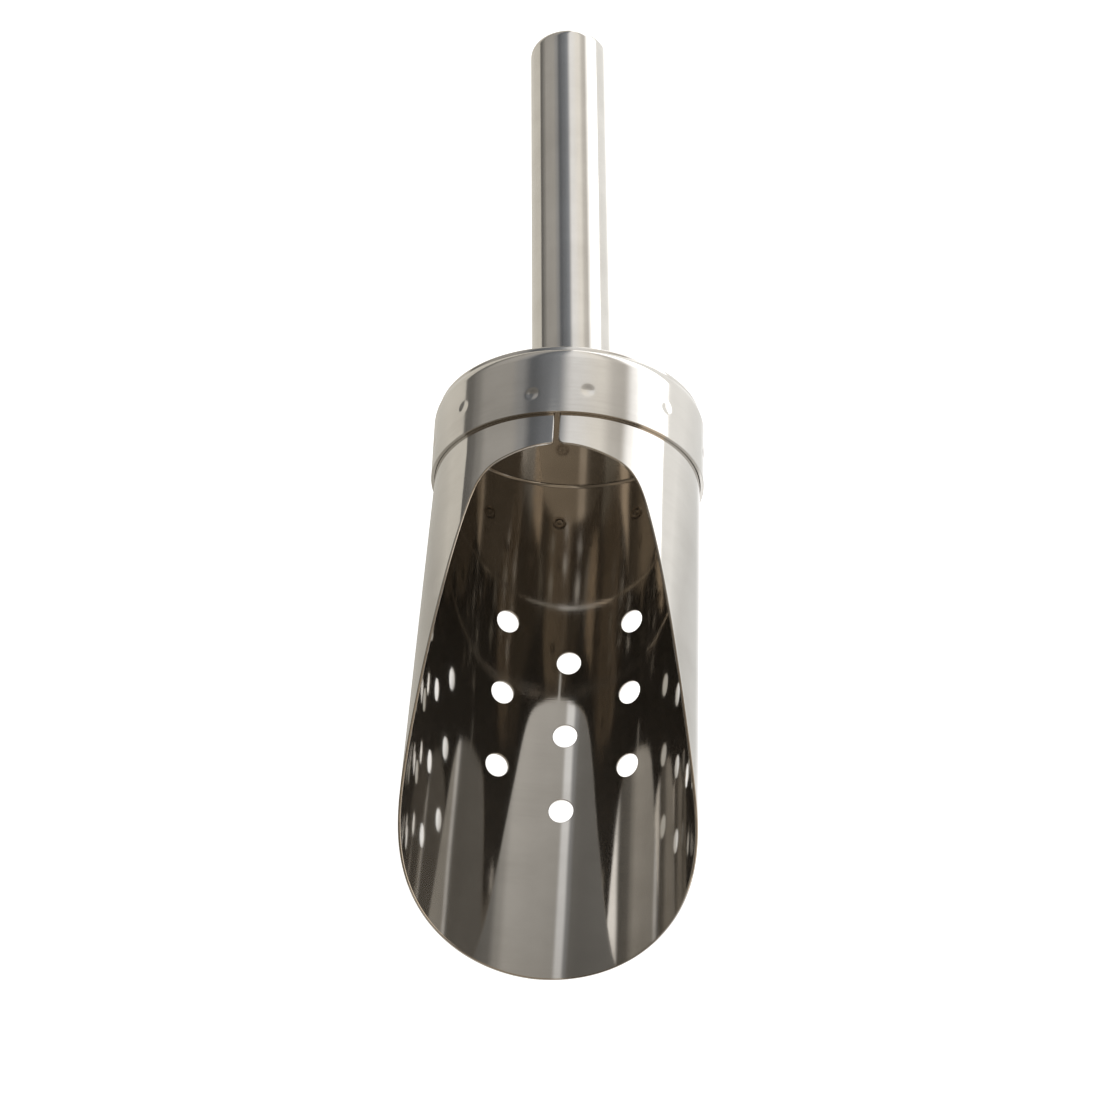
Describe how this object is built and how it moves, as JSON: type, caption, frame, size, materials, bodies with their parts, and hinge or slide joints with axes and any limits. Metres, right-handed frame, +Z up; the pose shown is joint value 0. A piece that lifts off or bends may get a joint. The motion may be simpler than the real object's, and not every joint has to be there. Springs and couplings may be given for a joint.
{
  "type": "ice scoop",
  "caption": "Perforated stainless steel ice scoop: open-seamed rolled bowl with a rounded nose, drawn end cap with a welded band, and a straight closed tube handle.",
  "frame": {"origin": "middle of the footprint, on the surface that the scoop lies on", "axes": "+Z up out of the bowl's mouth, nose towards -Y, handle towards +Y, +X to the right seen from the nose"},
  "size_m": [0.0652, 0.2386, 0.0628],
  "materials": {
    "body_steel": "polished stainless sheet with fine rolling lines",
    "cap_steel": "polished stainless, spot-weld dents round the band",
    "handle_steel": "mirror-polished stainless tube",
    "boss_steel": "unpolished drawn steel, hidden in the handle"
  },
  "bodies": {
    "root": {"scoop_body": "body_steel", "end_cap": "cap_steel", "handle_tube": "handle_steel", "handle_boss": "boss_steel"}
  },
  "joints": []
}
